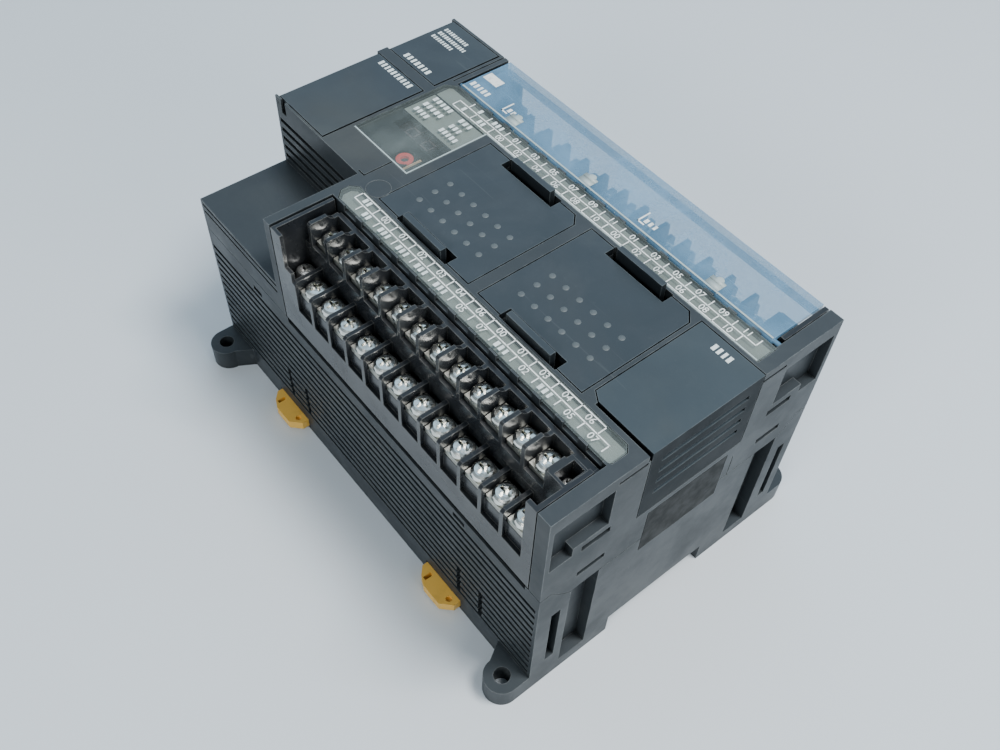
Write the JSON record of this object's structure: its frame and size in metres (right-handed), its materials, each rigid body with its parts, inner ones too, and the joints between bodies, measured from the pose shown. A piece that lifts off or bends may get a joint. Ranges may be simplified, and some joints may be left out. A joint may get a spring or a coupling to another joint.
{
  "type": "programmable logic controller",
  "caption": "Rail or panel mounted programmable logic controller with two-tier screw terminals, option slot covers, hinged lids and rail clips.",
  "frame": {"origin": "centre of the back face's outline, at the height of the back face", "axes": "+X along the mounting rail, +Y from the output terminals to the input terminals, +Z from the back face out to the front face"},
  "size_m": [0.15, 0.11, 0.0875],
  "materials": {
    "case_plastic": "fine matte texture, dusty",
    "cover_plastic": "fine matte texture, dusty",
    "block_plastic": "satin",
    "clip_plastic": "satin",
    "label_panel": "satin, tinted",
    "clear_cover": "satin, frosted by wear",
    "screw_metal": "bright nickel",
    "plate_metal": "bright nickel, brushed",
    "board_green": "satin",
    "dark_part": "matte",
    "light_part": "matte",
    "winding": "satin",
    "can_sleeve": "gloss",
    "alloy": "brushed",
    "shell_metal": "satin",
    "battery_sleeve": "gloss",
    "display_glass": "gloss",
    "switch_body": "satin",
    "dial_plastic": "satin",
    "tan_plastic": "matte",
    "lamp_clear": "gloss",
    "label_film": "satin"
  },
  "bodies": {
    "case": {"back_case": "case_plastic", "front_case": "case_plastic", "indicator_window": "label_panel", "output_label_strip": "label_panel", "input_terminal_block": "block_plastic", "input_screws": "screw_metal", "input_clamp_plates": "plate_metal", "input_contacts": "plate_metal", "input_block_screws": "screw_metal", "output_header": "dark_part", "input_header": "dark_part", "power_board": "board_green", "transformer": "winding", "capacitors": "can_sleeve", "heat_sink": "alloy", "power_transistors": "dark_part", "fuse": "light_part", "line_filter": "winding", "io_board": "board_green", "output_relays": "dark_part", "input_couplers": "dark_part", "board_spacers": "shell_metal", "board_links": "light_part", "cpu_board": "board_green", "logic_chips": "dark_part", "option_connectors": "light_part", "expansion_connector": "dark_part", "port_connector": "shell_metal", "battery": "battery_sleeve", "battery_holder": "dark_part", "segment_display": "display_glass", "mode_switches": "switch_body", "adjuster_base": "light_part", "adjuster_connector": "tan_plastic", "indicator_lamps": "lamp_clear", "side_label": "label_film"},
    "left_clip": {"din_clip_left": "clip_plastic"},
    "right_clip": {"din_clip_right": "clip_plastic"},
    "input_cover": {"input_cover": "clear_cover"},
    "port_lid": {"port_lid": "cover_plastic"},
    "battery_lid": {"battery_lid": "cover_plastic"},
    "left_option_cover": {"option_cover_left": "cover_plastic"},
    "right_option_cover": {"option_cover_right": "cover_plastic"},
    "expansion_cover": {"expansion_cover": "cover_plastic"},
    "output_block": {"output_terminal_block": "block_plastic", "output_screws": "screw_metal", "output_clamp_plates": "plate_metal", "output_contacts": "plate_metal", "output_block_screws": "screw_metal"},
    "adjuster": {"adjuster_dial": "dial_plastic"}
  },
  "joints": [
    {"name": "left_clip_slide", "type": "slide", "parent": "case", "child": "left_clip", "axis": [0, -1, 0], "range_m": [0, 0.004]},
    {"name": "right_clip_slide", "type": "slide", "parent": "case", "child": "right_clip", "axis": [0, -1, 0], "range_m": [0, 0.004]},
    {"name": "input_cover_hinge", "type": "hinge", "parent": "case", "child": "input_cover", "pos_m": [0, 0.0278, 0.084], "axis": [1, 0, 0], "range_deg": [0, 100]},
    {"name": "port_lid_hinge", "type": "hinge", "parent": "case", "child": "port_lid", "pos_m": [-0.0733, 0.0005, 0.0835], "axis": [0, -1, 0], "range_deg": [0, 100]},
    {"name": "battery_lid_hinge", "type": "hinge", "parent": "case", "child": "battery_lid", "pos_m": [-0.0733, 0.03235, 0.0835], "axis": [0, -1, 0], "range_deg": [0, 100]},
    {"name": "left_option_cover_lift", "type": "slide", "parent": "case", "child": "left_option_cover", "axis": [0, 0, 1], "range_m": [0, 0.016]},
    {"name": "right_option_cover_lift", "type": "slide", "parent": "case", "child": "right_option_cover", "axis": [0, 0, 1], "range_m": [0, 0.016]},
    {"name": "expansion_cover_lift", "type": "slide", "parent": "case", "child": "expansion_cover", "axis": [0, 0, 1], "range_m": [0, 0.028]},
    {"name": "output_block_lift", "type": "slide", "parent": "case", "child": "output_block", "axis": [0, 0, 1], "range_m": [0, 0.038]},
    {"name": "adjuster_turn", "type": "hinge", "parent": "case", "child": "adjuster", "pos_m": [-0.0336, -0.0029, 0.082], "axis": [0, 0, 1], "range_deg": [-120, 120]}
  ]
}
